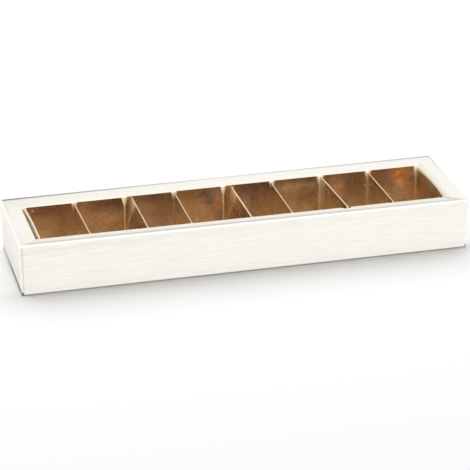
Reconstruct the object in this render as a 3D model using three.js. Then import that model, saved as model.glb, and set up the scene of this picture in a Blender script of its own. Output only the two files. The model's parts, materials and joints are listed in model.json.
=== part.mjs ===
// Oblong presentation carton with a pleated gold insert of eight cells.
//
// The carton is one creased sheet of white board: a floor, four outer walls, four mitred ledges
// that slope down to the window, and four inner walls that hang from the ledges. The insert is one
// creased strip of gold card: cell floors, side flaps with notched corners, two end flaps, and
// pleats that stand up between the cells. Each panel between creases is a mesh of its own.
// Millimetres, +Z up. The origin is the middle of the underside, +X runs along the carton and
// -Y is its front.
import * as THREE from 'three';

// Carton
const cartonLength = 270;
const cartonDepth = 72;
const cartonHeight = 30.5;
const board = 0.6;          // thickness of the white board
const foldInside = 0.5;     // inside radius of a creased fold in the board
const ledgeWidth = 11.5;    // from the outer wall's face to the window
const ledgeDrop = 1.4;      // how far the ledge falls towards the window
const mitreGap = 0.3;       // open seam between two ledges at a corner
const cornerSeam = 0.3;     // between an end wall's raw edge and the fold of a long wall
const tabLength = 8;        // glue tab of a long wall, behind the end wall
const footWidth = 6;        // glued foot of an inner wall, under the ledge

// Insert
const cellCount = 8;
const card = 0.4;            // thickness of the gold card
const insertClearance = 0.5; // between the insert and the inner walls, all round
const rimSink = 0.2;         // the insert's rim lies this far below the window's edge
const flapSlit = 0.35;       // between two side flaps, and two cell floors
const notchWidth = 2.8;      // V notch between two side flaps, at the rim
const notchDepth = 6;
const pleatGap = 0.2;        // between the two leaves of a pleat
const creaseGap = 0.3;       // room for a crease to bend, below a panel that leans
const endGap = 0.4;          // between a pleat's end and the side flap

// How far each pleat leans to the right of upright, and the left end flap into its cell, in degrees
const pleatLeans = [-0.9, 7.9, -0.1, 10.2, -1.6, 5.9, 1.8];
const leftFlapLean = 2;

// Smoothness of a quarter turn
const foldSteps = 5;

// Derived places
const halfLength = cartonLength / 2;
const halfDepth = cartonDepth / 2;
const foldRadius = board + foldInside;
const ledgeRun = ledgeWidth - 2 * foldRadius;
const ledgeSlope = Math.atan2(ledgeDrop, ledgeRun);
const wallTop = cartonHeight - foldRadius;
const innerWallTop = wallTop - ledgeDrop;
const insertLength = cartonLength - 2 * ledgeWidth - 2 * insertClearance;
const insertDepth = cartonDepth - 2 * ledgeWidth - 2 * insertClearance;
const insertBase = board;
const insertTop = cartonHeight - ledgeDrop - rimSink;
const cellsLength = insertLength - 2 * card;
const cellPitch = cellsLength / cellCount;
const pleatRadius = card + pleatGap / 2;
const leafBase = insertBase + card + creaseGap;
const leafHeight = insertTop - leafBase;
const leafLength = insertDepth - 2 * card - 2 * endGap;

const quarter = Math.PI / 2;
const radians = THREE.MathUtils.degToRad;
const carton = new THREE.Group();

// Outline of a sheet bent round one or more folds. Each fold is a centre and the angles where its
// outer face starts and stops, and a joined one carries on where the last one stopped. startRun and
// endRun are straight stretches before and after.
function bentSheet(folds, radius, thickness, startRun, endRun) {
  const outer = [];
  const inner = [];
  const addPair = (fold, angle, run) => {
    const turn = Math.sign(fold.to - fold.from);
    const along = new THREE.Vector2(-Math.sin(angle), Math.cos(angle)).multiplyScalar(turn * run);
    const out = new THREE.Vector2(Math.cos(angle), Math.sin(angle));
    const centre = new THREE.Vector2(fold.x, fold.y).add(along);
    outer.push(out.clone().multiplyScalar(radius).add(centre));
    inner.push(out.clone().multiplyScalar(radius - thickness).add(centre));
  };
  const first = folds[0];
  const last = folds[folds.length - 1];
  if (startRun > 0) {
    addPair(first, first.from, -startRun);
  }
  for (const fold of folds) {
    const steps = Math.ceil(Math.abs(fold.to - fold.from) / (quarter / foldSteps) - 1e-9);
    for (let i = fold.joined ? 1 : 0; i <= steps; i += 1) {
      addPair(fold, THREE.MathUtils.lerp(fold.from, fold.to, i / steps), 0);
    }
  }
  if (endRun > 0) {
    addPair(last, last.to, endRun);
  }
  return outer.concat(inner.reverse());
}

// Solid of an outline drawn in X and Y, standing on low and reaching up to high
function raise(outline, low, high) {
  const settings = { depth: high - low, bevelEnabled: false };
  return new THREE.ExtrudeGeometry(new THREE.Shape(outline), settings).translate(0, 0, low);
}

// Solid of an outline drawn in Y and Z, running along X from -halfRun to halfRun
function runAlongX(outline, halfRun) {
  const turn = new THREE.Matrix4().makeBasis(
    new THREE.Vector3(0, 1, 0), new THREE.Vector3(0, 0, 1), new THREE.Vector3(1, 0, 0));
  return raise(outline, -halfRun, halfRun).applyMatrix4(turn);
}

// Solid of an outline drawn in X and Z, running along Y between two places
function runAlongY(outline, low, high) {
  const turn = new THREE.Matrix4().makeBasis(
    new THREE.Vector3(1, 0, 0), new THREE.Vector3(0, 0, 1), new THREE.Vector3(0, -1, 0));
  return raise(outline, -high, -low).applyMatrix4(turn);
}

function plate(x0, x1, y0, y1, z0, z1) {
  const box = new THREE.BoxGeometry(x1 - x0, y1 - y0, z1 - z0);
  return box.translate((x0 + x1) / 2, (y0 + y1) / 2, (z0 + z1) / 2);
}

function addPanel(name, geometry, finish) {
  const mesh = new THREE.Mesh(geometry, new THREE.MeshStandardMaterial(finish));
  mesh.name = name;
  carton.add(mesh);
  return mesh;
}

const whiteBoard = { color: 0xf6f3ea, roughness: 0.75, metalness: 0 };
const goldCard = { color: 0xb5843f, roughness: 0.3, metalness: 0.9 };

// Floor, with the folds that turn it up into the two long walls
const floorFolds = [
  { x: -halfDepth + foldRadius, y: foldRadius, from: 2 * quarter, to: 3 * quarter },
  { x: halfDepth - foldRadius, y: foldRadius, from: 3 * quarter, to: 4 * quarter },
];
const floorOutline = bentSheet(floorFolds, foldRadius, board, 0, 0);
addPanel('carton_floor', runAlongX(floorOutline, halfLength - foldRadius), whiteBoard);

// The four sides, each drawn as the front one and turned about Z
const sides = [
  { name: 'front', turn: 0, halfRun: halfLength, reach: halfDepth, long: true },
  { name: 'right', turn: quarter, halfRun: halfDepth, reach: halfLength, long: false },
  { name: 'back', turn: 2 * quarter, halfRun: halfLength, reach: halfDepth, long: true },
  { name: 'left', turn: -quarter, halfRun: halfDepth, reach: halfLength, long: false },
];

// A long wall turns both corners and ends in glue tabs behind the end walls
function longWall(side) {
  const cornerX = side.halfRun - board - foldRadius;
  const cornerY = -side.reach + foldRadius;
  const folds = [
    { x: -cornerX, y: cornerY, from: 2 * quarter, to: 3 * quarter },
    { x: cornerX, y: cornerY, from: 3 * quarter, to: 4 * quarter },
  ];
  return raise(bentSheet(folds, foldRadius, board, tabLength, tabLength), foldRadius, wallTop);
}

// An end wall turns up from the floor by a fold of its own
function endWall(side) {
  const fold = { x: -side.reach + foldRadius, y: foldRadius, from: 2 * quarter, to: 3 * quarter };
  const outline = bentSheet([fold], foldRadius, board, wallTop - foldRadius, 0);
  return runAlongX(outline, side.halfRun - foldRadius - cornerSeam);
}

// A ledge: over the outer fold, down the slope, over the inner fold, mitred at both ends
function ledge(side) {
  const outerX = -side.reach + foldRadius;
  const innerX = -side.reach + ledgeWidth - foldRadius;
  const slopeAngle = quarter - ledgeSlope;
  const folds = [
    { x: outerX, y: wallTop, from: 2 * quarter, to: quarter },
    { x: outerX, y: wallTop, from: quarter, to: slopeAngle, joined: true },
    { x: innerX, y: innerWallTop, from: slopeAngle, to: 0 },
  ];
  const solid = runAlongX(bentSheet(folds, foldRadius, board, 0, 0), side.halfRun);
  const places = solid.attributes.position;
  for (let i = 0; i < places.count; i += 1) {
    const inset = side.reach + places.getY(i) + mitreGap * Math.SQRT1_2;
    places.setX(i, Math.sign(places.getX(i)) * (side.halfRun - inset));
  }
  return solid;
}

// An inner wall hangs from the ledge and stands on the floor with a foot turned under the ledge
function innerWall(side) {
  const face = -side.reach + ledgeWidth;
  const outline = [
    new THREE.Vector2(face, board),
    new THREE.Vector2(face, innerWallTop),
    new THREE.Vector2(face - board, innerWallTop),
    new THREE.Vector2(face - board, 2 * board),
    new THREE.Vector2(face - footWidth, 2 * board),
    new THREE.Vector2(face - footWidth, board),
  ];
  return runAlongX(outline, side.halfRun - ledgeWidth);
}

for (const side of sides) {
  const wallName = side.long ? `${side.name}_wall` : `${side.name}_end_wall`;
  const outerWall = side.long ? longWall(side) : endWall(side);
  addPanel(wallName, outerWall, whiteBoard).rotation.z = side.turn;
  addPanel(`${side.name}_ledge`, ledge(side), whiteBoard).rotation.z = side.turn;
  addPanel(`${side.name}_inner_wall`, innerWall(side), whiteBoard).rotation.z = side.turn;
}

// Creases between the cells, and the insert's two ends
const creaseAt = (k) => -cellsLength / 2 + k * cellPitch;
const flapFace = insertDepth / 2 - card;

// Where a cell's floor and side flaps start and stop along the insert
function cellSpan(k) {
  const low = k === 0 ? -insertLength / 2 : creaseAt(k) + flapSlit / 2;
  const high = k === cellCount - 1 ? insertLength / 2 : creaseAt(k + 1) - flapSlit / 2;
  return [low, high];
}

function cellFloor(k) {
  const [low, high] = cellSpan(k);
  return plate(low, high, -flapFace, flapFace, insertBase, insertBase + card);
}

// A side flap: upright panel with its top corners cut away, so that two of them leave a V notch
function sideFlap(k, face) {
  const [low, high] = cellSpan(k);
  const cut = (notchWidth - flapSlit) / 2;
  const outline = [
    new THREE.Vector2(low, insertBase),
    new THREE.Vector2(high, insertBase),
    new THREE.Vector2(high, insertTop - notchDepth),
    new THREE.Vector2(high - cut, insertTop),
    new THREE.Vector2(low + cut, insertTop),
    new THREE.Vector2(low, insertTop - notchDepth),
  ];
  return runAlongY(outline, face, face + card);
}

for (let k = 0; k < cellCount; k += 1) {
  addPanel(`cell_floor_${k + 1}`, cellFloor(k), goldCard);
  addPanel(`back_flap_${k + 1}`, sideFlap(k, flapFace), goldCard);
  addPanel(`front_flap_${k + 1}`, sideFlap(k, -flapFace - card), goldCard);
}

// A pleat: two leaves joined by the fold along their top, leaning about the crease at the bottom
const pleatFold = { x: 0, y: leafHeight - pleatRadius, from: 2 * quarter, to: 0 };
const pleatOutline = bentSheet([pleatFold], pleatRadius, card, pleatFold.y, pleatFold.y);
for (let k = 1; k < cellCount; k += 1) {
  const leaves = runAlongY(pleatOutline, -leafLength / 2, leafLength / 2);
  const pleat = addPanel(`divider_${k}`, leaves, goldCard);
  pleat.position.set(creaseAt(k), 0, leafBase);
  pleat.rotation.y = radians(pleatLeans[k - 1] ?? 0);
}

// End flaps, single panels that close the first and last cell
const endFlaps = [
  { name: 'left_end_flap', x: -(insertLength - card) / 2, lean: leftFlapLean },
  { name: 'right_end_flap', x: (insertLength - card) / 2, lean: 0 },
];
for (const flap of endFlaps) {
  const panel = plate(-card / 2, card / 2, -leafLength / 2, leafLength / 2, 0, leafHeight);
  const mesh = addPanel(flap.name, panel, goldCard);
  mesh.position.set(flap.x, 0, leafBase);
  mesh.rotation.y = radians(flap.lean);
}

export default carton;
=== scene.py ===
import json
import bpy
import numpy as np
from mathutils import Matrix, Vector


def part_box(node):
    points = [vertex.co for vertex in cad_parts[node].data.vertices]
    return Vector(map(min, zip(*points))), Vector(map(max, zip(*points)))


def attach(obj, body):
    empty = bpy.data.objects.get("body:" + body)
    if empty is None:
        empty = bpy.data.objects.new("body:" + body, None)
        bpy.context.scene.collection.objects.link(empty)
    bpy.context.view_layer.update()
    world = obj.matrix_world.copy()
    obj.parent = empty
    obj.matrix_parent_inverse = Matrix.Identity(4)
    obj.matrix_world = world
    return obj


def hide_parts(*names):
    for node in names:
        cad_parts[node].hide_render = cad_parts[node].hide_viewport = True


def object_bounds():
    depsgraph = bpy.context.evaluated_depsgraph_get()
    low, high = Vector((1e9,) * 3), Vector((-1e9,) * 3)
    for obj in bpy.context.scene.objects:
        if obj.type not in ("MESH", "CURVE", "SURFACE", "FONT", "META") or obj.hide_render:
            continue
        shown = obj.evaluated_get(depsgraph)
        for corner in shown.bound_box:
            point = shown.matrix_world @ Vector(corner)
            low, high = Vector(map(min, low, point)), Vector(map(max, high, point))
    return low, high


# Looks of an oblong presentation carton: silk-lined white board round a gold card insert.
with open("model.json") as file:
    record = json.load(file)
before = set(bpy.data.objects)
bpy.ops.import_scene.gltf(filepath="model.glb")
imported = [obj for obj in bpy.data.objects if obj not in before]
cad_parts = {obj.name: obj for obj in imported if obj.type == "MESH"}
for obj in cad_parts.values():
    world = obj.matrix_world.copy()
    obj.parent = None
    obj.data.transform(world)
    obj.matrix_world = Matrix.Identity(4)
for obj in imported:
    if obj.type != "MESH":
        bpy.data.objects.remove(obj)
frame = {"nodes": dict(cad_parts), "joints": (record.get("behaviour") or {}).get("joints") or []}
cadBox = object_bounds()
mm = 0.001  # sizes here are in millimetres, Blender's are in metres
quarter = np.pi / 2
print("frame loaded:", len(frame["nodes"]), "nodes")


# Lowest and highest corner
def nodeBox(node):
    return np.array(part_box(node)) / mm


# Driving sizes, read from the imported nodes
halfLength, halfDepth, cartonTop = np.array(cadBox[1]) / mm
wallFoot, wallTop = nodeBox("front_wall")[:, 2]
board, cardTop = nodeBox("cell_floor_1")[:, 2]  # the insert stands on the board
card = cardTop - board
innerFoot = np.ptp(nodeBox("left_inner_wall")[:, 0])
foldRadius = cartonTop - wallTop
ledgeWidth = nodeBox("front_ledge")[1, 1] - cadBox[0][1] / mm


# Materials

def startMaterial(name):
    material = bpy.data.materials.new(name)
    material.use_nodes = True
    return material, material.node_tree, material.node_tree.nodes["Principled BSDF"]


def addNode(tree, kind, inputs=None, **settings):
    node = tree.nodes.new(kind)
    for key, value in settings.items():
        setattr(node, key, value)
    for key, value in (inputs or {}).items():
        if isinstance(value, bpy.types.NodeSocket):
            tree.links.new(value, node.inputs[key])
        else:
            node.inputs[key].default_value = value
    return node


def mixColour(tree, share, first, second):
    return addNode(tree, "ShaderNodeMix", {0: share, 6: first, 7: second}, data_type="RGBA").outputs[2]


def remap(tree, value, low, high, fromLow=0.0, fromHigh=1.0, **settings):
    inputs = {0: value, 1: fromLow, 2: fromHigh, 3: low, 4: high}
    return addNode(tree, "ShaderNodeMapRange", inputs, **settings).outputs[0]


def math(tree, operation, first, second=0.0):
    return addNode(tree, "ShaderNodeMath", {0: first, 1: second}, operation=operation).outputs[0]


def noise(tree, vector, scale, detail=2.0, rough=0.5):
    inputs = {"Vector": vector, "Scale": scale, "Detail": detail, "Roughness": rough}
    return addNode(tree, "ShaderNodeTexNoise", inputs).outputs["Fac"]


def bump(tree, height, depth, strength, **under):
    inputs = {"Height": height, "Distance": depth, "Strength": strength, **under}
    return addNode(tree, "ShaderNodeBump", inputs).outputs["Normal"]


# A mark of the sheet, 0 to 1 per point
def attribute(tree, name):
    return addNode(tree, "ShaderNodeAttribute", attribute_name=name).outputs["Fac"]


def stretched(tree, source, scale):
    return addNode(tree, "ShaderNodeMapping", {"Vector": source, "Scale": scale}).outputs["Vector"]


silkBoard = {
    "sheet": (0.955, 0.935, 0.865, 1),
    "valley": (0.82, 0.795, 0.72, 1),  # between two silk lines
    "crease": (0.10, 0.095, 0.08, 1),  # painted shade: dark line beside a fold, and in seams, corners and along the foot
    "fold": (0.985, 0.98, 0.955, 1),  # painted highlight, bright over a fold and along raw and top edges
    "cast": (0.985, 0.93, 0.79, 1),  # painted gold light reflected onto the board, towards the window
    "lines": (45, 1300, 1),  # silk lines: repeats per metre along and across
    "threads": (120, 2600, 1),  # finer threads between them
    "rough": (0.46, 0.62),
    "emboss": 0.00003,  # metres
}


def makeSilkBoard(name, look):
    material, tree, shader = startMaterial(name)
    grain = addNode(tree, "ShaderNodeUVMap", uv_map="grain").outputs["UV"]
    lines = noise(tree, stretched(tree, grain, look["lines"]), 1.0, 3.0, 0.6)
    threads = noise(tree, stretched(tree, grain, look["threads"]), 1.0, 2.0)
    height = math(tree, "ADD", lines, math(tree, "MULTIPLY", threads, 0.5))
    sheet = mixColour(tree, remap(tree, height, 1, 0, 0.45, 0.95), look["sheet"], look["valley"])
    # mixes in the painted highlight, the painted gold light and the painted shade, where their marks say
    for mark in ("fold", "cast", "crease"):
        sheet = mixColour(tree, attribute(tree, mark), sheet, look[mark])
    tree.links.new(sheet, shader.inputs["Base Color"])
    tree.links.new(remap(tree, lines, *look["rough"], 0.3, 0.7), shader.inputs["Roughness"])
    tree.links.new(bump(tree, height, look["emboss"], 0.8), shader.inputs["Normal"])
    return material


goldFilm = {
    "gold": (0.80, 0.66, 0.46, 1),
    "warm": (0.86, 0.63, 0.40, 1),  # clouds in the film
    "bronze": (0.66, 0.53, 0.43, 1),  # duller ones
    "umber": (0.50, 0.345, 0.225, 1),  # painted shade where marked, and the dark side of the streaks and grain
    "amber": (0.80, 0.30, 0.07, 1),  # matt patches, from amber to straw: painted reflections on the back flaps, painted highlights on leaves, the film's tone on the bottoms
    "straw": (0.77, 0.48, 0.22, 1),
    "stretched": (0.62, 0.40, 0.215, 1),  # over a fold
    "cut": (0.97, 0.64, 0.32, 1),  # film worn off along a cut
    "bare": (0.94, 0.83, 0.65, 1),  # film worn off a hem
    "clouds": (45, 75),  # repeats per metre: warm and dull
    "bands": (90, 90, 330),  # streaks that lie level: along, across, up
    "mottle": ((420, 420, 900), 0.3),  # fine grain, level too: repeats per metre and strength
    "light": (0.98, 0.81, 0.52, 1),  # the grain's bright side
    "breaks": 170,  # repeats per metre of the breaks in the matt patches
    "haze": 0.05,  # matt share of the bright film
    "specks": (190, 0.55, 0.2),  # repeats per metre, how few, and their size
    "hazes": 70,  # repeats per metre of the clouds in its gloss
    "rough": (0.13, 0.22),
    "peel": (210, 0.00005),  # orange peel: repeats per metre and depth in metres
    "dent": (95, 0.00012),  # small dents, likewise
    "coat": {"Coat Weight": 0.6, "Coat Roughness": 0.06, "Coat IOR": 1.55},
}


def makeGoldFilm(look):
    material, tree, shader = startMaterial("goldFilm")
    place = addNode(tree, "ShaderNodeTexCoord").outputs["Object"]
    warm, dull = (noise(tree, place, scale, 3.0) for scale in look["clouds"])
    bands = noise(tree, stretched(tree, place, look["bands"]), 1.0, 3.0)
    mottle, strength = look["mottle"]
    fine = noise(tree, stretched(tree, place, mottle), 1.0, 1.0)
    layers = [  # share and colour, from the lowest up
        (remap(tree, warm, 0, 0.5, 0.48, 0.66), "warm"),
        (remap(tree, dull, 1, 0, 0.34, 0.5), "bronze"),
        (remap(tree, bands, 0, 0.6, 0.5, 0.75), "umber"),
        # painted shade marked on the back flaps and left leaves
        (attribute(tree, "umber"), "umber"),
        (remap(tree, fine, 0, strength, 0.5, 0.62), "umber"),
        (remap(tree, fine, strength, 0, 0.38, 0.5), "light"),
        (attribute(tree, "fold"), "stretched"),
    ]
    film = look["gold"]
    for share, colour in layers:
        film = mixColour(tree, share, film, look[colour])
    # matt patches: painted reflections and highlights, and the bottoms' own tone
    broken = noise(tree, place, look["breaks"], 4.0, 0.6)
    patch = math(tree, "MULTIPLY", attribute(tree, "patch"), remap(tree, broken, 0.35, 1.25, 0.36, 0.62))
    tint = mixColour(tree, attribute(tree, "straw"), look["amber"], look["straw"])
    film = mixColour(tree, remap(tree, patch, 0, 1, 0, 0.5), film, tint)

    every, few, size = look["specks"]
    spots = addNode(tree, "ShaderNodeTexVoronoi", {"Vector": place, "Scale": every}).outputs
    near = remap(tree, spots["Distance"], 0.7, 0.0, 0.3 * size, size)
    specks = math(tree, "MULTIPLY", near, math(tree, "GREATER_THAN", spots["Color"], few))
    wear = math(tree, "MAXIMUM", attribute(tree, "wear"), specks)
    worn = mixColour(tree, attribute(tree, "bare"), look["cut"], look["bare"])
    tree.links.new(mixColour(tree, wear, film, worn), shader.inputs["Base Color"])
    matt = math(tree, "MAXIMUM", math(tree, "MULTIPLY", wear, 0.85), remap(tree, patch, look["haze"], 0.75))
    tree.links.new(math(tree, "SUBTRACT", 1.0, matt), shader.inputs["Metallic"])
    hazes = noise(tree, place, look["hazes"], 3.0)
    smooth = remap(tree, hazes, *look["rough"], 0.35, 0.7)
    tree.links.new(math(tree, "ADD", smooth, math(tree, "MULTIPLY", wear, 0.25)), shader.inputs["Roughness"])

    peelEvery, peelDepth = look["peel"]
    dentEvery, dentDepth = look["dent"]
    grains = noise(tree, place, peelEvery, 2.0)
    cells = addNode(tree, "ShaderNodeTexVoronoi", {"Vector": place, "Scale": dentEvery}).outputs
    dents = remap(tree, cells["Distance"], 1.0, 0.0, 0.0, 0.12, interpolation_type="SMOOTHSTEP")
    peel = bump(tree, grains, peelDepth, 0.5)
    tree.links.new(bump(tree, dents, dentDepth, 0.6, Normal=peel), shader.inputs["Normal"])
    for socket, value in look["coat"].items():
        shader.inputs[socket].default_value = value
    return material


cardCore = {
    "pulp": (0.95, 0.88, 0.75, 1),
    "shade": (0.88, 0.79, 0.64, 1),
    "fibre": 900,  # repeats per metre
    "tooth": 0.00002,  # metres
}


def makeCardCore(look):
    material, tree, shader = startMaterial("cardCore")
    place = addNode(tree, "ShaderNodeTexCoord").outputs["Object"]
    fibres = noise(tree, place, look["fibre"], 4.0, 0.65)
    pulp = mixColour(tree, remap(tree, fibres, 0, 1, 0.4, 0.75), look["pulp"], look["shade"])
    tree.links.new(pulp, shader.inputs["Base Color"])
    tree.links.new(remap(tree, fibres, 0.7, 0.9), shader.inputs["Roughness"])
    tree.links.new(bump(tree, fibres, look["tooth"], 0.5), shader.inputs["Normal"])
    return material


linerPaintedGoldLight = dict(silkBoard, sheet=(0.945, 0.885, 0.78, 1), valley=(0.92, 0.85, 0.74, 1))  # round the window, with painted gold light reflected from the insert
notchPaintedGoldLight = dict(silkBoard, sheet=(0.985, 0.84, 0.61, 1), valley=(0.97, 0.81, 0.57, 1))  # behind the notches, with stronger painted gold light
boardFinish = [makeSilkBoard("silkBoard", silkBoard)]
linerPaintedGoldLightFinish = [makeSilkBoard("linerPaintedGoldLight", linerPaintedGoldLight)]
notchPaintedGoldLightFinish = [makeSilkBoard("notchPaintedGoldLight", notchPaintedGoldLight)]
cardFinish = [makeGoldFilm(goldFilm), makeCardCore(cardCore)]
print("finishes made:", [m.name for m in boardFinish + linerPaintedGoldLightFinish + notchPaintedGoldLightFinish + cardFinish])


# Sheets

sharpFrom = np.radians(35)  # an edge that turns more than this is not smoothed
flush = 0.01  # what lies nearer than this is level with the face


def addObject(name, data):
    thing = bpy.data.objects.new(name, data)
    bpy.context.scene.collection.objects.link(thing)
    return thing


# A grid of points, or of places on the flat sheet
def gridOf(*axes):
    return np.stack(np.broadcast_arrays(*axes), -1)


def quads(*corners):
    return np.stack(corners, -1).reshape(-1, 4)


# A closed sheet from two grids of points, its good face and its back, joined by a rim. The last
# finish covers back and rim. Grain is the place on the flat sheet. Marks are 0 to 1: one number, a grid
# for both sides, or a grid for the face and then one for the back.
def makeSheet(name, face, back, grain, marks, finishes):
    rows, columns = face.shape[:2]
    f = np.arange(rows * columns).reshape(rows, columns)
    b = f + rows * columns
    faces = quads(f[:-1, :-1], f[1:, :-1], f[1:, 1:], f[:-1, 1:])
    others = np.concatenate([
        quads(b[:-1, :-1], b[:-1, 1:], b[1:, 1:], b[1:, :-1]),
        quads(f[1:, 0], f[:-1, 0], b[:-1, 0], b[1:, 0]),
        quads(f[-1, 1:], f[-1, :-1], b[-1, :-1], b[-1, 1:]),
        quads(f[:-1, -1], f[1:, -1], b[1:, -1], b[:-1, -1]),
        quads(f[0, :-1], f[0, 1:], b[0, 1:], b[0, :-1]),
    ])
    every = np.concatenate([faces, others])
    i, j = rows // 2, columns // 2
    turn = np.cross(face[i, j] - face[i - 1, j], face[i, j] - face[i, j - 1])
    if turn @ (face[i, j] - back[i, j]) < 0:
        every = every[:, ::-1]
    points = np.concatenate([face.reshape(-1, 3), back.reshape(-1, 3)]) * mm
    mesh = bpy.data.meshes.new(name)
    mesh.from_pydata(points.tolist(), [], every.tolist())
    for finish in finishes:
        mesh.materials.append(finish)
    wears = np.repeat([0, len(finishes) - 1], [len(faces), len(others)])
    mesh.polygons.foreach_set("material_index", wears.astype(np.int32))
    mesh.polygons.foreach_set("use_smooth", np.ones(len(every), bool))
    mesh.set_sharp_from_angle(angle=sharpFrom)
    corners = np.empty(len(mesh.loops), np.int32)
    mesh.loops.foreach_get("vertex_index", corners)
    flat = np.tile(grain.reshape(-1, 2), (2, 1)) * mm
    mesh.uv_layers.new(name="grain").data.foreach_set("uv", flat[corners].ravel())
    for mark, values in marks.items():
        both = np.broadcast_to(values, (2, rows, columns)).ravel().astype(np.float32)
        mesh.attributes.new(mark, "FLOAT", "POINT").data.foreach_set("value", both)
    mesh.update()
    return addObject(name, mesh)


lampGroups = {"box": bpy.data.collections.new("boxPieces"), "floor": bpy.data.collections.new("floorOnly")}


def addPiece(name, node, body, slot, *sheet):
    piece = makeSheet(name, *sheet)
    lampGroups["box"].objects.link(piece)
    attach(piece, body)
    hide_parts(node)


def addPanel(node, *sheet):
    addPiece(node + "Panel", node, "carton", "white_board", *sheet)


# Places along a stretch: close together near both ends, wide apart between them
def closeAtEnds(low, high, reach=3.0, fine=0.2, coarse=3.0):
    start = np.arange(low, low + reach, fine)
    middle = np.linspace(low + reach, high - reach, max(2, int((high - low - 2 * reach) / coarse) + 1))
    end = high - start[::-1] + low
    return np.concatenate([start, middle, end])


def bell(distance, width):
    return np.exp(-(distance / width) ** 2)


# Distance along a line of points, as a column
def travelledAlong(points):
    steps = np.linalg.norm(np.diff(points, axis=0), axis=1)
    return np.concatenate([[0], np.cumsum(steps)])[:, None]


# The line of a sheet's outer face: straight runs between corners that are rounded to a radius.
# Gives points, outward normals (to the left of travel), the distance travelled, and where folds lie.
def foldedLine(corners, radius, foldSteps=9, shortRun=8, fine=0.2):
    corners = [np.array(c, float) for c in corners]
    points, normals, folds = [], [], []
    start = corners[0]
    travelled = 0.0
    for k in range(1, len(corners)):
        along = corners[k] - corners[k - 1]
        along = along / np.linalg.norm(along)
        out = np.array([-along[1], along[0]])
        if k + 1 < len(corners):
            after = corners[k + 1] - corners[k]
            turn = np.arctan2(along[0] * after[1] - along[1] * after[0], along @ after)
            inset = radius * np.tan(abs(turn) / 2)
        else:
            turn, inset = 0.0, 0.0
        end = corners[k] - along * inset
        run = np.linalg.norm(end - start)
        steps = closeAtEnds(0, run) if run > shortRun else np.linspace(0, run, max(2, int(run / fine)))
        points.append(start + along * steps[:, None])
        normals.append(np.broadcast_to(out, (len(steps), 2)))
        travelled += run
        if turn:
            side = -np.sign(turn)
            centre = end - out * radius * side
            spin = np.linspace(0, turn, foldSteps + 1)[1:-1]
            turned = np.stack([np.cos(spin) * out[0] - np.sin(spin) * out[1],
                               np.sin(spin) * out[0] + np.cos(spin) * out[1]], -1)
            points.append(centre + turned * radius * side)
            normals.append(turned)
            folds.append((travelled, travelled + radius * abs(turn)))
            travelled += radius * abs(turn)
            start = corners[k] + after / np.linalg.norm(after) * inset
    points, normals = np.concatenate(points), np.concatenate(normals)
    return points, normals, travelledAlong(points), folds


# Carton

# Each side is drawn as the front one: along it, inset from its outer face, and up
sides = {
    "front": {"turn": 0, "halfRun": halfLength, "reach": halfDepth},
    "right": {"turn": quarter, "halfRun": halfDepth, "reach": halfLength},
    "back": {"turn": 2 * quarter, "halfRun": halfLength, "reach": halfDepth},
    "left": {"turn": -quarter, "halfRun": halfDepth, "reach": halfLength},
}
longSides = ("front", "back")


def onSide(side, along, inset, up):
    across = inset - side["reach"]
    cos, sin = np.cos(side["turn"]), np.sin(side["turn"])
    return gridOf(along * cos - across * sin, along * sin + across * cos, up)


longWall = {
    "tab": 8.0,  # glue tab behind the end wall
    "bow": 0.15,  # the face stands out this much in the middle
    "cornerFold": 0.5,
    "pale": (0.1, 0.7),  # strength and reach of the painted highlight along the top edge
    "shade": (0.075, 0.045, 0.025),  # painted shade a little under the top fold: left, middle, right
    "paintedShadeAt": (2.2, 2.2),  # how far under it, and its reach
    "foot": (0.05, 0.025, 0.07),  # painted shade above the foot: left, middle, right
    "footReach": 3.5,
    "paintedGrey": (0.24, 0.05),  # painted shade line down the left and right corner
    "paintedGreyAt": (0.1, 0.35),  # how far from the corner's middle, and its reach
    "rows": 29,
}


# Plan line (tab, corner, long face, corner, tab) carried straight up
def makeLongWall(sideName):
    side = sides[sideName]
    run, tab = side["halfRun"] - board, longWall["tab"] + foldRadius
    corners = [(run, tab), (run, 0), (-run, 0), (-run, tab)]
    plan, out, distance, folds = foldedLine(corners, longWall["cornerFold"])
    places, insets = plan.T[..., None]
    rightCorner, leftCorner = (sum(fold) / 2 for fold in folds)
    shift, paintedGreyReach = longWall["paintedGreyAt"]
    atRight = bell(distance - rightCorner - shift, paintedGreyReach)
    atLeft = bell(distance - leftCorner + shift, paintedGreyReach)
    left, right = longWall["paintedGrey"] if sideName == "front" else longWall["paintedGrey"][::-1]
    paintedGrey = left * atLeft + right * atRight
    heights = np.linspace(wallFoot, wallTop, longWall["rows"])
    share = (heights - wallFoot) / (wallTop - wallFoot)
    swell = np.cos(np.clip(places / run, -1, 1) * quarter) * (insets < flush)
    relief = longWall["bow"] * swell * np.sin(np.pi * share)
    outer = plan[:, None] + out[:, None] * relief[..., None]
    face = onSide(side, outer[..., 0], outer[..., 1], heights)
    back = onSide(side, *(plan - out * board).T[..., None], heights)
    grain = gridOf(distance, heights)
    # painted highlight along the top edge
    pale, paleReach = longWall["pale"]
    top = pale * bell(wallTop - heights, paleReach)
    thirds = (-run, 0, run)
    under, paintedShadeReach = longWall["paintedShadeAt"]
    # painted shade under the top fold and above the foot
    shade = np.interp(places, thirds, longWall["shade"]) * bell(wallTop - heights - under, paintedShadeReach)
    foot = np.interp(places, thirds, longWall["foot"]) * bell(heights - wallFoot, longWall["footReach"])
    marks = {"fold": top[None], "crease": paintedGrey + shade + foot}
    addPanel(sideName + "_wall", face, back, grain, marks, boardFinish)


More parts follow.
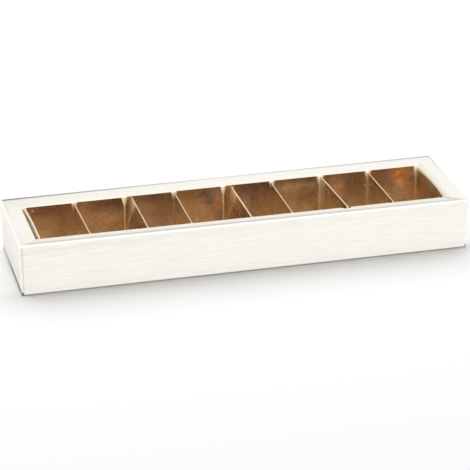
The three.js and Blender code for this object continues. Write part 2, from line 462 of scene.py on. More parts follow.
endWall = {
    "bow": 0.1,
    "shy": 0.3,  # its raw edge laps the corner fold, this short of the long face
    "footRadius": 0.3,  # fold to the floor
    "lap": 0.3,  # its foot laps the floor's end this far
    "edge": (2.6, 0.8, 0.4),  # painted highlight on the raw edge: its reach, its strength outside and inside
    "rim": {"left": 0.14, "right": 0.04},  # painted shade inside that edge
    "lift": {"left": 0.1, "right": 0.2},  # its foot stands clear of the ground
    # from here the left end runs from back to front, and the right one from front to back
    "paintedFootShade": {"left": (0.15, 0.55, 1.0, 1.0, 0.95), "right": (0.5, 0.4, 0.3, 0.3, 0.2)},  # painted shade along the foot
    "paintedFootShadeHeight": (1.0, 0.5),  # full up to here, then fading
    "heel": 0.5,  # where the foot has painted shade it is splayed out this much
    "flare": {"left": (0.8, 0.5), "right": (1.3, 0.0)},  # the face bulges out at its start and end
}


# Upright line with its fold to the floor, carried along the end
def makeEndWall(sideName):
    side = sides[sideName]
    run = halfDepth - endWall["shy"]
    lift = endWall["lift"][sideName]
    corners = [(foldRadius + endWall["lap"], lift), (0, lift), (0, wallTop)]
    line, out, distance = foldedLine(corners, endWall["footRadius"])[:3]
    insets, heights = line.T[..., None]
    along = closeAtEnds(-run, run, reach=2.0)
    paintedEdgeHighlightReach, outside, inside = endWall["edge"]
    # painted highlight along both raw edges
    bright = bell(run - abs(along), paintedEdgeHighlightReach)
    swell = np.sin(np.pi * np.clip(heights / wallTop, 0, 1)) * (insets < flush)
    relief = endWall["bow"] * swell * np.cos(along / run * quarter)
    fromTop = 1 - heights / wallTop
    flare = np.interp(along, (-run, run), endWall["flare"][sideName]) * (1 - fromTop ** 3)
    full, fade = endWall["paintedFootShadeHeight"]
    paintedFootShades = endWall["paintedFootShade"][sideName]
    strength = np.interp(along, np.linspace(-run, run, len(paintedFootShades)), paintedFootShades)
    paintedFootShade = strength * bell(np.maximum(heights - lift - full, 0), fade)
    heel = endWall["heel"] * strength * bell(heights - lift, full)
    outer = line[:, None] + out[:, None] * relief[..., None]
    face = onSide(side, along, outer[..., 0] - flare - heel, outer[..., 1])
    back = onSide(side, along, *(line - out * board).T[..., None])
    grain = gridOf(distance, along)
    # painted shade: the foot on both faces, and inside the raw edge on the back face
    dark = np.stack([paintedFootShade, np.maximum(paintedFootShade, endWall["rim"][sideName])])
    marks = {"fold": np.stack([outside * bright, inside * bright])[:, None], "crease": dark}
    addPanel(sideName + "_end_wall", face, back, grain, marks, boardFinish)


cartonFloor = {
    "footRadius": 0.25,
    "paintedFootShade": (0.2, 0.1),  # painted shade along the foot of the long walls, from left to right
    "paintedFootShadeSize": (0.6, 0.3),  # how far up, and in from the wall
    "columns": 61,
}


# Bottom with the folds up into the long walls, carried along the carton
def makeCartonFloor():
    corners = [(-halfDepth, wallFoot), (-halfDepth, 0), (halfDepth, 0), (halfDepth, wallFoot)]
    line, out, distance = foldedLine(corners, cartonFloor["footRadius"])[:3]
    inner = line + out * board
    places, heights = line.T[..., None]
    along = np.linspace(-halfLength + foldRadius, halfLength - foldRadius, cartonFloor["columns"])
    face, back = (gridOf(along, *section.T[..., None]) for section in (line, inner))
    grain = gridOf(along, distance)
    # painted shade along the foot of the long walls
    paintedFootShade = np.interp(along, (-halfLength, halfLength), cartonFloor["paintedFootShade"])
    paintedShadeUp, paintedShadeIn = cartonFloor["paintedFootShadeSize"]
    paintedFootShade = paintedFootShade * bell(heights, paintedShadeUp)
    marks = {"crease": paintedFootShade * (abs(places) > halfDepth - paintedShadeIn)}
    addPiece("cartonFloorPanel", "carton_floor", "carton", "white_board", face, back,
             grain, marks, boardFinish)


# Corners of the window as this carton stands: inset from the end and from the long side, the fall there,
# the open seam at the outer and inner end of the mitre, and how far the long ledge's tip stands out
windowCorners = {
    "frontLeft": {"fromEnd": ledgeWidth - 0.8, "fromSide": ledgeWidth - 0.4, "drop": 1.0,
                  "seam": (0.05, 0.05), "out": 0.5},
    "frontRight": {"fromEnd": ledgeWidth - 1.2, "fromSide": ledgeWidth - 0.7, "drop": 1.5,
                   "seam": (0.15, 0.55)},
    "backRight": {"fromEnd": ledgeWidth - 0.2, "fromSide": ledgeWidth - 0.2, "drop": 0.8,
                  "seam": (0.15, 0.15)},
    "backLeft": {"fromEnd": ledgeWidth - 1.1, "fromSide": ledgeWidth, "drop": 2.0,
                 "seam": (0.03, 0.03), "out": 0.8},
}
ledge = {
    "ends": {"front": ("frontLeft", "frontRight"), "right": ("frontRight", "backRight"),
             "back": ("backRight", "backLeft"), "left": ("backLeft", "frontLeft")},
    "fold": 0.6,  # radius of both folds
    "bow": {"front": 0, "right": -1.4, "back": 0, "left": 0},  # the inner edge's bow at the middle
    # painted shade of the crease inside the outer fold, which also sets the depth of its groove: its place,
    # its reach outwards and inwards, then its strength at the start, middle and end of the ledge
    "crease": {"front": (2.1, 1.0, 2.0, (0.32, 0.44, 0.26)), "right": (0.0, 0.6, 0.5, (0.0, 0.075, 0.53)),
               "back": (0.5, 1.1, 0.8, (0.62, 0.24, 0.95)), "left": (1.2, 0.6, 1.0, (0.16, 0.0, 0.06))},
    "paintedHighlightBand": {"front": 1.4, "right": 0.25, "back": 0.25, "left": 0.25},  # reach of the painted highlight on the outer fold
    # the outer edge stands out, and up, at the start, middle and end of the ledge
    "flare": {"front": (0, 0, 0), "right": (1.3, 0.65, 0), "back": (0, 0, 0), "left": (0.8, 0.65, 0.5)},
    "lift": {"front": (0.3, 0, -0.3), "right": (-0.3, 0, 0.3),
             "back": (0.3, 0.2, -0.25), "left": (-0.25, 0, 0.3)},
    "nick": {"front": (63.0, 2.6, 1.4)},  # place along, half its width, depth
    "nickFlank": 0.5,
    "depth": 0.1,  # of both creases
    # painted shade of the crease outside the inner fold, whose place and reach also shape its groove: its
    # place, reach and strength
    "inner": {"front": (1.1, 0.5, 0.03), "right": (0.4, 1.2, 0.15),
              "back": (1.1, 0.5, 0.03), "left": (1.1, 0.5, 0.03)},
    "paintedMitreShade": {"front": 0.6},  # painted shade along the cut at its end
    "glow": {"front": 0.7, "right": 0.15, "back": 0.7, "left": 0.7},  # painted highlight on the inner fold
    "paintedGlowReach": 0.4,
    "cast": {"front": 0.6, "right": 0.6, "back": 0.6, "left": 0.7},  # painted gold light reflected onto the board near the window
    "paintedGoldLightReach": 3.0,
    # painted highlight, or below 0 painted shade, on the slope at its start, middle and end
    "tone": {"front": (-0.05, -0.03, -0.09), "right": (0.4, 0.4, 0.4), "back": (0.25, 0.25, -0.05),
             "left": (-0.03, 0.3, 0.0)},
    "foldSteps": 7,
}
ledgeTop = cartonTop - ledge["fold"]


# Section of a ledge at each place along it: up to the outer fold, over it, down the slope, over the inner
# fold. Share runs -1 to 0 on the riser, to 1 on the outer fold, to 2 on the slope, to 3 on the inner fold.
def ledgeSection(share, width, drop):
    radius = ledge["fold"]
    slope = np.arctan2(drop, width - 2 * radius)
    top = quarter - slope
    riser, outer = np.clip(-share, 0, 1), np.clip(share, 0, 1)
    middle, inner = np.clip(share - 1, 0, 1), np.clip(share - 2, 0, 1)
    angle = np.pi + (top - np.pi) * outer - top * inner
    centre = radius + (width - 2 * radius) * middle
    height = ledgeTop - drop * middle - (ledgeTop - wallTop) * riser
    out = np.stack([np.cos(angle), np.sin(angle)], -1)
    return np.stack([centre, height], -1) + out * radius, out, slope


# Depth of the nick at each place along the inner edge, with steep flanks
def nickAt(sideName, along):
    middle, half, depth = ledge["nick"].get(sideName, (0.0, 1.0, 0.0))
    return depth * np.clip((half - abs(along - middle)) / ledge["nickFlank"] + 0.5, 0, 1)


# The two corners of the window on a side, and which of their insets lies across it and which along it
def windowEnds(sideName):
    insets = ("fromSide", "fromEnd") if sideName in longSides else ("fromEnd", "fromSide")
    return *(windowCorners[c] for c in ledge["ends"][sideName]), *insets


# Start and end of the window's edge along a side
def windowRun(sideName):
    start, end, own, other = windowEnds(sideName)
    return start[other] - sides[sideName]["halfRun"], sides[sideName]["halfRun"] - end[other]


# Places along a ledge from -1 to 1, closer together at its ends and round a nick
def ledgePlaces(sideName):
    places = closeAtEnds(-1, 1, reach=0.06, fine=0.015, coarse=0.04)
    if sideName not in ledge["nick"]:
        return places
    middle, half = ledge["nick"][sideName][:2]
    low, high = windowRun(sideName)
    near = 2 * (middle + np.arange(-half - 1, half + 1, 0.2) - low) / (high - low) - 1
    return np.unique(np.concatenate([places, near]))


# The window's edge along a side: place from -1 to 1, its share from 0 to 1, inset from the outer face
# (straight from corner to corner with a bow), fall, and distance along
def windowEdge(sideName):
    start, end, own, other = windowEnds(sideName)
    place = ledgePlaces(sideName)
    share = (place + 1) / 2
    width = start[own] + (end[own] - start[own]) * share + ledge["bow"][sideName] * (1 - place ** 2)
    drop = start["drop"] + (end["drop"] - start["drop"]) * share
    low, high = windowRun(sideName)
    return place, share, width, drop, low + (high - low) * share


# The section carried along the side, and cut off at both ends along the mitres
def makeLedge(sideName):
    side = sides[sideName]
    start, end, own, other = windowEnds(sideName)
    place, share, width, drop, edge = windowEdge(sideName)
    width = width - nickAt(sideName, edge)
    folds = np.linspace(0, 1, ledge["foldSteps"] + 1)
    slopeSteps = 1 + closeAtEnds(0, 1, reach=0.25, fine=0.015, coarse=0.05)
    steps = np.concatenate([[-1, -0.5], folds[:-1], slopeSteps, 2 + folds[1:]])[:, None]
    section, out, slope = ledgeSection(steps, width, drop)
    thirds = (-1, 0, 1)
    outerShare = 1 - np.clip(steps - 1, 0, 1)
    section[..., 0] -= np.interp(place, thirds, ledge["flare"][sideName]) * outerShare
    lift = np.interp(place, thirds, ledge["lift"][sideName])
    section[..., 1] += lift * outerShare * np.clip(steps + 1, 0, 1)
    run = (width - 2 * ledge["fold"]) / np.cos(slope)
    onSlope = np.clip(steps - 1, 0, 1) * run - np.clip(1 - steps, 0, 1)  # distance down the slope
    at, outwards, inwards, strength = ledge["crease"][sideName]
    paintedGrey = bell(onSlope - at, np.where(onSlope < at, outwards, inwards)) * np.interp(place, thirds, strength)
    innerAt, innerReach, innerStrength = ledge["inner"][sideName]
    innerPaintedGrey = bell(run - onSlope - innerAt, innerReach) * (steps < 2)
    relief = -ledge["depth"] * (paintedGrey + innerPaintedGrey) * (steps > 1)
    # painted highlight above 0, painted shade below it
    tone = np.interp(place, thirds, ledge["tone"][sideName])
    # painted highlight: riser, outer fold, pale slope and inner fold
    bright = np.where(steps < 1, np.clip(steps + 1, 0, 1) ** 2, bell(onSlope, ledge["paintedHighlightBand"][sideName]))
    bright = bright + np.maximum(tone, 0)
    glow = np.where(steps > 2, 1, bell(run - onSlope, ledge["paintedGlowReach"]))
    bright = bright + ledge["glow"][sideName] * glow

    def mitred(line):
        inset = line[..., 0]
        cut = np.maximum(inset, 0)

        def reachAt(corner):
            outerSeam, innerSeam = corner["seam"]
            seam = outerSeam + (innerSeam - outerSeam) * cut / corner[own]
            tip = corner.get("out", 0) * (1 - cut / corner[own]) if other == "fromEnd" else 0
            return side["halfRun"] + tip - cut * corner[other] / corner[own] - seam

        low, high = -reachAt(start), reachAt(end)
        return onSide(side, low + (high - low) * share, inset, line[..., 1])

    face = mitred(section + out * relief[..., None])
    back = mitred(section - out * board)
    distance, along = travelledAlong(face[:, 0]), place * side["halfRun"]
    pair = (along, distance) if sideName in longSides else (distance, along)
    grain = gridOf(*pair)
    # painted shade: the creases, a grey slope and the mitre
    dark = paintedGrey + innerPaintedGrey * innerStrength + np.maximum(-tone, 0) * (steps > 1)
    dark = dark + ledge["paintedMitreShade"].get(sideName, 0) * (place > 0.999) * np.clip(1.5 * (steps - 1), 0, 1)
    cast = ledge["cast"][sideName] * bell(np.maximum(run - onSlope, 0), ledge["paintedGoldLightReach"])
    marks = {"fold": np.clip(bright, 0, 1), "crease": np.clip(dark, 0, 1), "cast": cast}
    addPanel(sideName + "_ledge", face, back, grain, marks, boardFinish)


innerWall = {
    "footRadius": 0.9,
    "nickFrom": (0.9, 0.07),  # share of the height at which the nick begins, and over which it grows
    "pale": (0.6, 3.0),  # painted highlight: the back one is paler at its right end: strength and reach
}


# Hangs from the ledge's inner fold, meets the floor and turns under the ledge as a foot
def makeInnerWall(sideName):
    width, drop, along = windowEdge(sideName)[2:]
    corners = [(0, ledgeTop), (0, board), (-innerFoot, board)]
    line, out, distance = foldedLine(corners, innerWall["footRadius"])[:3]
    rise = np.clip((line[:, 1, None] - board) / (ledgeTop - board), 0, 1)
    nickFrom, nickGrowth = innerWall["nickFrom"]
    nick = nickAt(sideName, along) * np.clip((rise - nickFrom) / nickGrowth, 0, 1)

    def hung(section):
        insets, heights = section.T[..., None]
        return onSide(sides[sideName], along, width + insets - nick, heights - drop * rise)

    grain = gridOf(along, distance)
    finish = notchPaintedGoldLightFinish if sideName in longSides else linerPaintedGoldLightFinish
    # painted highlight at the right end of the back one
    pale, paleReach = innerWall["pale"]
    marks = {"fold": pale * bell(along - along[0], paleReach) * (sideName == "back")}
    addPanel(sideName + "_inner_wall", hung(line), hung(line - out * board), grain, marks, finish)


makeCartonFloor()
for sideName in sides:
    makeWall = makeLongWall if sideName in longSides else makeEndWall
    makeWall(sideName)
    makeLedge(sideName)
    makeInnerWall(sideName)
print("carton panels made")


# Insert

cellCount = sum(name.startswith("cell_floor_") for name in frame["nodes"])
hinges = {j["child"]: np.array(j["pos_m"]) / mm for j in frame["joints"] if j["type"] == "hinge"}
rng = np.random.default_rng(8)

flap = {
    "notch": (2.8, 6.0),  # width and depth of the V between two flaps
    "slitShift": -0.8,  # the slits lie this far left of the dividers' creases
    "close": 0.15,  # and are nearly shut
    "corner": (3.0, 11.0),  # width and depth of the V at the right end of the back flaps
    "dip": {"front_flap_7": (63.5, 3.3, 2.4)},  # a dent in the rim: its middle, half its width, depth
    "dipFlank": 0.8,
    "rim": {"back": (-0.55, 0.7, 1.2), "front": (0.1, -0.3, -0.45)},  # rise of the rim: left, middle, right
    "wear": (0.2, 0.75, 0.9, 0.9, 0.85, 0.9, 1.0, 1.0, 1.0),  # film chipped along each cut, left to right
    "chip": (0.5, 0.5, 0.5, 0.5, 0.5, 0.5, 0.95, 0.75, 0.9),  # and how far in
    "bare": (0.0, 0.0, 0.1, 0.2, 0.0, 0.2, 0.25, 0.25, 0.0),  # and how pale it is there
    "wave": (0.2, -0.3, 0.15),  # the card's own waviness, and its limits out of and into the cell
    "steps": (12, 9),  # up to the notch, and beside it
    "lean": {"back": 0.0, "front": 0.5},  # how far the rim leans out of the cell
}


# Painted reflections on the back flaps, as matt patches of the film: share along, share up, reach along,
# reach up, strength, and tone from amber (0) to straw (1)
flapPaintedReflections = {
    1: [(0.5, 0.5, 0.25, 0.2, 0.1, 1)],
    2: [(0.2, 0.75, 0.12, 0.15, 0.3, 0.3), (0.75, 0.58, 0.25, 0.18, 0.3, 0.6)],
    3: [(0.4, 0.7, 0.15, 0.12, 0.2, 0.6)],
    4: [(0.87, 0.65, 0.16, 0.35, 0.5, 0.3), (0.52, 0.55, 0.1, 0.12, 0.35, 0.8)],
    5: [(0.45, 0.65, 0.12, 0.1, 0.2, 0.8)],
    6: [(0.45, 0.8, 0.5, 0.1, 0.4, 1)],
    7: [(0.35, 0.72, 0.16, 0.2, 0.45, 0.3)],
    8: [(0.68, 0.88, 0.22, 0.16, 0.9, 0), (0.85, 0.5, 0.12, 0.25, 0.5, 0.1),
        (0.66, 0.62, 0.12, 0.12, 0.55, 0.8)],
}


# Painted shade on the back flaps, as umber bands: share along, share up, reach along, reach up, strength
flapPaintedShades = {
    1: [(0.3, 0.92, 0.6, 0.2, 0.8), (0.5, 0.45, 0.8, 0.6, 0.45)],
    2: [(0.7, 0.95, 0.35, 0.13, 0.6), (0.5, 0.38, 0.8, 0.3, 0.95), (0.4, 0.8, 0.5, 0.2, 0.45)],
    3: [(0.5, 0.95, 0.7, 0.15, 0.5), (0.6, 0.55, 0.2, 0.1, 0.3), (0.5, 0.4, 0.6, 0.2, 0.25)],
    4: [(0.2, 0.95, 0.35, 0.15, 0.5), (0.55, 0.38, 0.7, 0.25, 0.6)],
    5: [(0.5, 0.95, 0.7, 0.1, 0.3)],
    6: [(0.5, 1.0, 0.7, 0.08, 0.6), (0.6, 0.52, 0.5, 0.1, 0.25), (0.3, 0.38, 0.3, 0.12, 0.15)],
    7: [(0.8, 0.75, 0.25, 0.3, 0.65), (0.1, 0.9, 0.1, 0.2, 0.5), (0.4, 0.4, 0.5, 0.15, 0.25)],
    8: [(0.12, 0.75, 0.25, 0.3, 0.6), (0.4, 0.5, 0.12, 0.12, 0.4)],
}


# Each spot fades from its strength at its middle as a bell, along and up
def spotsAt(u, v, spots):
    return [s * bell(np.hypot((u - a) / ra, (v - b) / rb), 1) for a, b, ra, rb, s, *tone in spots]


# Waviness of a card panel: a few broad swells with seeded places and heights
def cardWaves(u, v, size):
    total = np.zeros(np.broadcast(u, v).shape)
    for k in range(4):
        cu, cv, strength = rng.uniform(0.1, 0.9), rng.uniform(0.1, 0.9), rng.uniform(-1, 1)
        total = total + strength * bell(np.hypot(u - cu, v - cv), rng.uniform(0.25, 0.5))
    return size * total / 2


cellFloor = {
    "tone": 0.08,  # share of straw in the film of the bottoms
    "deep": 0.3,  # and of the deeper gold
    "sag": 0.03,
    "steps": (17, 25),
}


# Flat bottom of a cell that sags a little in the middle
def makeCellFloor(k):
    name = f"cell_floor_{k}"
    low, high = nodeBox(name)
    u, v = (np.linspace(0, 1, steps) for steps in cellFloor["steps"])
    u = u[:, None]
    x, y = low[0] + (high[0] - low[0]) * u, low[1] + (high[1] - low[1]) * v
    sag = cellFloor["sag"] * np.sin(np.pi * u) * np.sin(np.pi * v)
    face = gridOf(x, y, high[2] - sag)
    back = gridOf(x, y, low[2])
    grain = gridOf(x, y)
    marks = {"patch": cellFloor["tone"], "straw": 1, "fold": cellFloor["deep"]}
    addPiece(f"cellFloor{k}", name, "insert", "gold_card", face, back, grain, marks, cardFinish)


# Upright panel whose ends close in near the rim, so that two of them leave a V
def makeFlap(k, where):
    name = f"{where}_flap_{k}"
    low, high = nodeBox(name)
    first, last = nodeBox(f"{where}_flap_1")[0, 0], nodeBox(f"{where}_flap_{cellCount}")[1, 0]
    leftNotch, leftDepth = flap["notch"]
    atCorner = where == "back" and k == cellCount
    rightNotch, rightDepth = flap["corner"] if atCorner else (leftNotch, leftDepth)
    left = low[0] + (0 if k == 1 else flap["slitShift"] - flap["close"])
    right = high[0] + (0 if k == cellCount else flap["slitShift"] + flap["close"])
    top = high[2] + np.interp((left + right) / 2, (first, (first + last) / 2, last), flap["rim"][where])
    tall = top - low[2]
    notch = 1 - leftDepth / tall
    below, beside = flap["steps"]
    v = np.concatenate([np.linspace(0, notch, below), np.linspace(notch, 1, beside)[1:]])
    u = closeAtEnds(0, 1, reach=0.036, fine=0.006, coarse=0.02)[:, None]
    leftCut, rightCut = (np.clip(1 - (1 - v) * tall / depth, 0, 1) / 2 for depth in (leftDepth, rightDepth))
    wide = right - left - leftNotch * leftCut - rightNotch * rightCut
    x = left + leftNotch * leftCut + wide * u
    size, *limits = flap["wave"]
    wave = np.clip(cardWaves(u, v, size), *limits) - flap["lean"][where] * v
    inward = -1 if where == "back" else 1
    inner, outer = (low[1], high[1]) if where == "back" else (high[1], low[1])
    middle, half, depth = flap["dip"].get(name, (0.0, 1.0, 0.0))
    dip = depth * np.clip((half - abs(x - middle)) / flap["dipFlank"] + 0.5, 0, 1)
    z = low[2] + (tall - dip) * v
    face = gridOf(x, inner + inward * wave, z)
    back = gridOf(x, outer + inward * wave, z)
    grain = gridOf(x, z)
    atLeft = flap["wear"][k - 1] * bell(wide * u, flap["chip"][k - 1])
    wear = atLeft + flap["wear"][k] * bell(wide * (1 - u), flap["chip"][k])
    bare = np.where(u < 0.5, flap["bare"][k - 1], flap["bare"][k])
    marks = {"wear": np.clip(wear, 0, 1), "bare": bare}
    if where == "back":
        marks["umber"] = np.clip(sum(spotsAt(u, v, flapPaintedShades[k])), 0, 1)
        spread = spotsAt(u, v, flapPaintedReflections[k])
        tones = [part * patch[-1] for part, patch in zip(spread, flapPaintedReflections[k])]
        marks["patch"] = np.clip(sum(spread), 0, 1)
        marks["straw"] = sum(tones) / (sum(spread) + 1e-6)
    addPiece(f"{where}Flap{k}", name, "insert", "gold_card", face, back, grain, marks, cardFinish)


# Section of a card folded over on itself: up one leaf, over the fold and down the other. Gives as columns
# the place across the fold from -1 to 1, the height, and how far the fold's outer face looks up.
def foldedOver(rise, fall, radius, foldSteps, begin, end):
    spin = np.linspace(begin, end, foldSteps + 1)[1:-1]
    across = np.concatenate([np.cos(begin) + 0 * rise, np.cos(spin), np.cos(end) + 0 * fall])
    up = np.concatenate([rise, rise[-1] + radius * np.sin(spin), fall])
    upward = np.concatenate([0 * rise, np.sin(spin), 0 * fall])
    return np.stack([across, up, upward])[..., None]


divider = {
    "radius": card + 0.1,  # the fold along the top
    # for each divider: how far the fold stands to the right of its place, how far its back end stands to
    # the right of its middle, and how far the middle height bellies to the left
    "shift": (-0.2, 0.0, -0.65, 0.0, -0.4, -1.45, -0.9),
    "twist": (-0.45, 0.0, 0.05, -0.25, -0.15, -1.35, -0.6),
    "bend": (0.0, 0.7, 0.0, 0.1, -0.1, 0.1, 0.0),
    "wear": (0.25, 0.4, 0.15, 0.9, 0.15, 0.45, 0.2),  # cracking of the film along the fold
    "crack": (0.1, 0.6, 0.2),  # begins this far down, full at this share of the radius, how pale it is
    "cut": (0.85, 0.6),  # film worn off along the back end of the left leaf: strength and reach
    # painted reflection of a slit, a slanting line on a left leaf: where it leaves the fold, how far it runs
    # back on its way down, strength
    "paintedSlitReflection": {2: (11.3, 13.5, 1.0), 4: (11.3, 13.5, 1.0), 6: (15.6, 26.0, 0.8)},
    "paintedSlitReflectionReach": 1.4,
    "paintedLeafHighlight": {2: 0.8, 4: 0.8},  # painted highlight behind that line
    "paintedLeafHighlightReach": 3,
    "umber": (0.8, 0.0, 0.35, 0.0, 0.95, 0.0, 0.0),  # painted shade of the left leaf
    "patch": {2: (13, 0.75), 4: (13, 0.75)},  # painted highlight as a matt patch near its back end: place along, strength
    "patchReach": (10, 0.7, 0.4),  # reach along, then place and reach up
    "straw": 0.8,  # its tone
    "foldSteps": 10,
    "leafSteps": 24,
    "alongSteps": (8, 25, 40),  # closer together behind this place: points before it and after it
    "swell": 0.08,
}


# Two leaves and the fold between them, carried along the crease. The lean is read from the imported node.
def makeDivider(k):
    name = f"divider_{k}"
    low, high = nodeBox(name)
    hinge = hinges[name]
    radius = divider["radius"]
    right, left = high[0] - hinge[0] - radius, low[0] - hinge[0] + radius
    lean = np.arctan2(right if right > -left else left, high[2] - hinge[2] - radius)
    height = (high[2] - hinge[2] - radius) / np.cos(lean)
    rise = np.linspace(0, height, divider["leafSteps"])
    across, up, upward = foldedOver(rise, rise[::-1], radius, divider["foldSteps"], np.pi, 0)
    closer, before, after = divider["alongSteps"]
    along = np.concatenate([np.linspace(low[1], closer, before), np.linspace(closer, high[1], after)[1:]])
    share = np.clip(up / height, 0, 1)
    swing = (divider["shift"][k - 1] + divider["twist"][k - 1] * along / high[1]) * share ** 2
    swing = swing - divider["bend"][k - 1] * np.sin(np.pi * share)
    swing = swing + cardWaves(share, (along - low[1]) / (high[1] - low[1]), divider["swell"])

    def carried(thickness):
        sideways = across * radius - across * thickness + swing
        tall = up - upward * thickness
        x = hinge[0] + sideways * np.cos(lean) + tall * np.sin(lean)
        z = hinge[2] - sideways * np.sin(lean) + tall * np.cos(lean)
        return gridOf(x, along, z)

    begins, full, pale = divider["crack"]
    fold = np.clip((up - height + begins) / (radius * full), 0, 1)
    start, back, strength = divider["paintedSlitReflection"].get(k, (0.0, 0.0, 0.0))
    behind = along - start - back * (1 - share)
    paintedLeafLit = divider["paintedLeafHighlight"].get(k, 0) * np.clip(behind / divider["paintedLeafHighlightReach"], 0, 1)
    lines = np.maximum(strength * bell(behind, divider["paintedSlitReflectionReach"]), paintedLeafLit)
    cut, cutReach = divider["cut"]
    lines = np.maximum(lines, cut * bell(high[1] - along, cutReach)) * (across < -0.99)
    marks = {"wear": np.maximum(divider["wear"][k - 1] * fold, lines), "fold": fold, "bare": pale * fold}
    leaf = np.clip(-across, 0, 1) * (1 - fold)
    patchAt, patchStrength = divider["patch"].get(k, (0.0, 0.0))
    marks["umber"] = divider["umber"][k - 1] * leaf
    reachAlong, patchUp, reachUp = divider["patchReach"]
    marks["patch"] = patchStrength * leaf * bell(along - patchAt, reachAlong) * bell(share - patchUp, reachUp)
    marks["straw"] = divider["straw"]
    grain = gridOf(along, up)
    addPiece(f"divider{k}", name, name, "gold_card", carried(0), carried(card), grain, marks, cardFinish)


endFlap = {
    "radius": {"left": 0.6, "right": 0.45},  # fold of the hem along the top
    "hem": 7.0,
    # how far the rim stands into the cell at its front end, middle and back end
    "rim": {"left": (0.5, 0.3, -0.7), "right": (-1.1, -2.0, -0.1)},
    "curl": 1.5,  # power of the height by which the panel curls to it
    "wear": {"left": 1.0, "right": 0.8},
    "wearFade": 0.3,
    "haze": 0.1,  # film rubbed pale all over
    "steps": (20, 10, 8, 33),  # up the panel, over the fold, down the hem, and along
}


# Panel that closes the first or last cell, folded over outwards along its rim. A parabola through
# the three places of the rim bows it.
def makeEndFlap(where):
    name = f"{where}_end_flap"
    low, high = nodeBox(name)
    hinge = hinges[name]
    radius = endFlap["radius"][where]
    top = high[2] - hinge[2]
    lean = np.arctan2(high[0] - low[0] - card, top) if where == "left" else 0.0
    inward = 1 if where == "left" else -1
    panelSteps, foldSteps, hemSteps, alongSteps = endFlap["steps"]
    rise = np.linspace(0, top - radius, panelSteps)
    fall = np.linspace(top - radius, top - radius - endFlap["hem"], hemSteps)
    across, up, upward = foldedOver(rise, fall, radius, foldSteps, 0, np.pi)
    along = np.linspace(low[1], high[1], alongSteps)
    place = along / high[1]
    front, middle, back = endFlap["rim"][where]
    bow = middle + (back - front) / 2 * place + ((back + front) / 2 - middle) * place ** 2

    def standing(thickness):
        tall = up - upward * thickness
        sideways = card / 2 - radius + across * radius - across * thickness
        x = hinge[0] + inward * (sideways + bow * (tall / top) ** endFlap["curl"] + tall * np.sin(lean))
        return gridOf(x, along, hinge[2] + tall)

    fade = endFlap["wearFade"]
    onFold = np.clip((up - top + radius + fade / 2) / fade, 0, 1)
    wear = np.maximum(endFlap["wear"][where] * np.where(across < 0, 1, onFold), endFlap["haze"])
    grain = gridOf(along, up)
    marks = {"wear": wear, "bare": 1}
    addPiece(f"{where}EndFlap", name, name, "gold_card", standing(0), standing(card),
             grain, marks, cardFinish)


for k in range(1, cellCount + 1):
    makeCellFloor(k)
    makeFlap(k, "back")
    makeFlap(k, "front")
for k in range(1, cellCount):
    makeDivider(k)
for where in ("left", "right"):
    makeEndFlap(where)
print("insert panels made")


# Studio

studio = {
    "floorSize": 12.0,  # metres
    "floorTint": (0.96, 0.955, 0.95, 1),
    "floorGlow": 0.02,  # for the camera, so that the bare floor is white
    "floorFade": (0.35, 0.9),  # metres from the middle: the lit floor fades into plain white
    "floorLift": 0.55,  # even light that the object gets from the floor
    "floorShade": (1, 45),  # millimetres: none from under the box, full this far beyond its ends
    "floorLevel": -0.0005,  # metres: the bottom edges stand a little clear
    "sky": 0.1,
}
# The floor has a lamp of its own, so that the shadow in front can be as deep as a table's. The others
# light the box.
lamps = {
    "frontTop": {"place": (0.7, -1.93, 2.20), "aim": (0, 0, 0), "size": (2.4, 1.8), "power": 101},
    "leftSide": {"place": (-2.2, 0.0, 0.3), "aim": (0, 0, 0.02), "size": (1.6, 0.5), "power": 30},
    "rightSide": {"place": (2.2, 0.0, 0.3), "aim": (0, 0, 0.02), "size": (1.6, 0.5), "power": 24},
    "backSide": {"place": (0.0, 2.2, 0.3), "aim": (0, 0, 0.02), "size": (2.4, 0.5), "power": 26},
    "overhead": {"place": (0, 3.7, 3.0), "aim": (0, 3.7, 0), "size": (12.0, 7.4), "power": 640,
                 "lights": "floor"},
}


def mixShaders(tree, share, first, second):
    return addNode(tree, "ShaderNodeMixShader", {0: share, 1: first.outputs[0], 2: second.outputs[0]})


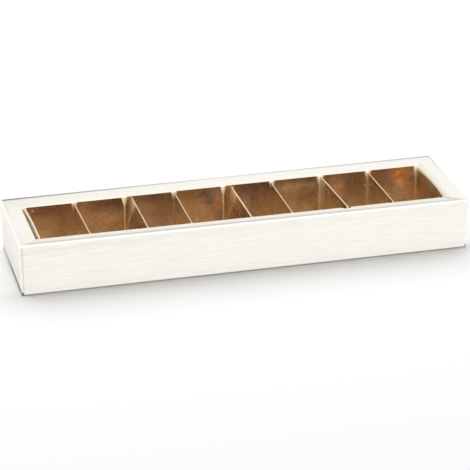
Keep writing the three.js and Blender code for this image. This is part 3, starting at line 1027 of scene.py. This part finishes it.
def makeFloor():
    half, ground = studio["floorSize"] / 2, studio["floorLevel"]
    corners = [(x * half, y * half, ground) for x, y in ((-1, -1), (1, -1), (1, 1), (-1, 1))]
    mesh = bpy.data.meshes.new("studioFloor")
    mesh.from_pydata(corners, [], [(0, 1, 2, 3)])
    material, tree = startMaterial("paleFloor")[:2]
    tree.nodes.clear()
    paper = addNode(tree, "ShaderNodeBsdfDiffuse", {"Color": studio["floorTint"]})
    glow = addNode(tree, "ShaderNodeEmission", {"Strength": studio["floorGlow"]})
    place = addNode(tree, "ShaderNodeTexCoord").outputs["Object"]
    axes = addNode(tree, "ShaderNodeSeparateXYZ", {0: place}).outputs
    under, beyond = studio["floorShade"]
    shadeEnds = (halfLength - under) * mm, (halfLength + beyond) * mm
    besideX = remap(tree, math(tree, "ABSOLUTE", axes[0]), 0, 1, *shadeEnds)
    besideY = math(tree, "GREATER_THAN", math(tree, "ABSOLUTE", axes[1]), (halfDepth - under) * mm)
    beside = math(tree, "MAXIMUM", besideX, besideY)  # 0 under the box
    level = math(tree, "MULTIPLY", beside, studio["floorLift"])
    lift = addNode(tree, "ShaderNodeEmission", {"Strength": level})
    bright = addNode(tree, "ShaderNodeAddShader", {0: paper.outputs[0], 1: glow.outputs[0]})
    across = math(tree, "MULTIPLY", axes[0], axes[0])
    away = math(tree, "SQRT", math(tree, "ADD", across, math(tree, "MULTIPLY", axes[1], axes[1])))
    white = addNode(tree, "ShaderNodeEmission", {"Strength": 1.0})
    faded = mixShaders(tree, remap(tree, away, 0, 1, *studio["floorFade"]), bright, white)
    pick = mixShaders(tree, seenDirectly(tree), lift, faded)
    addNode(tree, "ShaderNodeOutputMaterial", {"Surface": pick.outputs[0]}, is_active_output=True)
    material.cycles.emission_sampling = "NONE"
    mesh.materials.append(material)
    floor = addObject("studioFloor", mesh)
    lampGroups["floor"].objects.link(floor)


# 1 for rays from the camera, a mirror or glass, and 0 for the light that falls on the object
def seenDirectly(tree):
    path = addNode(tree, "ShaderNodeLightPath").outputs
    return math(tree, "MAXIMUM", math(tree, "MAXIMUM", path["Is Camera Ray"], path["Is Glossy Ray"]),
                path["Is Transmission Ray"])


def makeSky():
    world = bpy.data.worlds.new("studioSky")
    bpy.context.scene.world = world
    world.use_nodes = True
    tree = world.node_tree
    tree.nodes.clear()
    soft = addNode(tree, "ShaderNodeBackground", {"Color": (1, 1, 1, 1), "Strength": studio["sky"]})
    white = addNode(tree, "ShaderNodeBackground", {"Color": (1, 1, 1, 1), "Strength": 1.0})
    pick = mixShaders(tree, seenDirectly(tree), soft, white)
    addNode(tree, "ShaderNodeOutputWorld", {"Surface": pick.outputs[0]})


# At a place, looking along a direction, with its right hand side given
def placed(place, look, right):
    back = -np.array(look) / np.linalg.norm(look)
    right = np.array(right) / np.linalg.norm(right)
    matrix = np.eye(4)
    matrix[:3] = np.stack([right, np.cross(back, right), back, place], 1)
    return Matrix(matrix.tolist())


def makeLamps():
    for name, lamp in lamps.items():
        light = bpy.data.lights.new(name + "Lamp", "AREA")
        light.shape = "RECTANGLE"
        light.size, light.size_y = lamp["size"]
        light.energy = lamp["power"]
        thing = addObject(name + "Lamp", light)
        look = np.array(lamp["aim"]) - np.array(lamp["place"])
        right = np.cross(look, (0, 0, 1)) if abs(look[2]) < 0.99 * np.linalg.norm(look) else (1, 0, 0)
        thing.matrix_world = placed(lamp["place"], look, right)
        thing.visible_glossy = False
        thing.light_linking.receiver_collection = lampGroups[lamp.get("lights", "box")]


camera = {
    "place": (-305.67, -1212.25, 566.94),  # millimetres
    "azimuth": 14.176,  # degrees to the right of +Y
    "dip": 24.121,
    "roll": -0.229,
    "focal": 2273.7,  # pixels of an image that is 470 wide
    "image": 470,
    "sensor": 36.0,  # millimetres
    "far": 50,  # metres
}


def makeCamera():
    data = bpy.data.cameras.new("photoCamera")
    data.sensor_width = camera["sensor"]
    data.lens = camera["focal"] * camera["sensor"] / camera["image"]
    data.clip_end = camera["far"]
    thing = addObject("photoCamera", data)
    azimuth, dip, roll = np.radians([camera["azimuth"], camera["dip"], camera["roll"]])
    look = np.array([np.sin(azimuth) * np.cos(dip), np.cos(azimuth) * np.cos(dip), -np.sin(dip)])
    level = np.array([np.cos(azimuth), -np.sin(azimuth), 0])
    up = np.cross(level, look)
    right = level * np.cos(roll) + up * np.sin(roll)
    thing.matrix_world = placed(np.array(camera["place"]) * mm, look, right)
    bpy.context.scene.camera = thing


makeFloor()
makeSky()
makeLamps()
makeCamera()
bpy.context.scene.view_settings.view_transform = "Standard"
print("studio set up")
